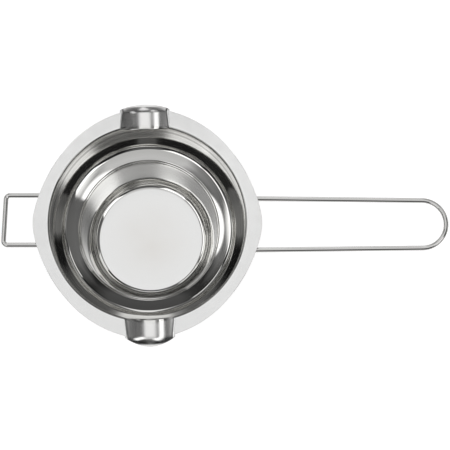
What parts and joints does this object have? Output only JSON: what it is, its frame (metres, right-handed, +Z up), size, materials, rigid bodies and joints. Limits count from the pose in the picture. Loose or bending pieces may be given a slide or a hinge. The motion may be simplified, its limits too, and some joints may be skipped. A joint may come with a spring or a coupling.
{
  "type": "candle melting pot",
  "caption": "Stepped steel melting bowl with a wide flange, opposed pouring spouts, a long wire loop handle and a short wire hook, to hang in a saucepan.",
  "frame": {"origin": "centre of the underside of the bowl's flat base", "axes": "+Z up out of the bowl, +X along the long handle, spouts facing +Y and -Y"},
  "size_m": [0.2609, 0.1434, 0.0709],
  "materials": {
    "bowl_steel": "polished inside, satin on the flange and floor",
    "wire_steel": "bright drawn wire",
    "weld_steel": "dull weld"
  },
  "bodies": {
    "root": {"bowl": "bowl_steel", "long_handle": "wire_steel", "front_hook": "wire_steel", "handle_welds": "weld_steel", "hook_welds": "weld_steel"}
  },
  "joints": []
}
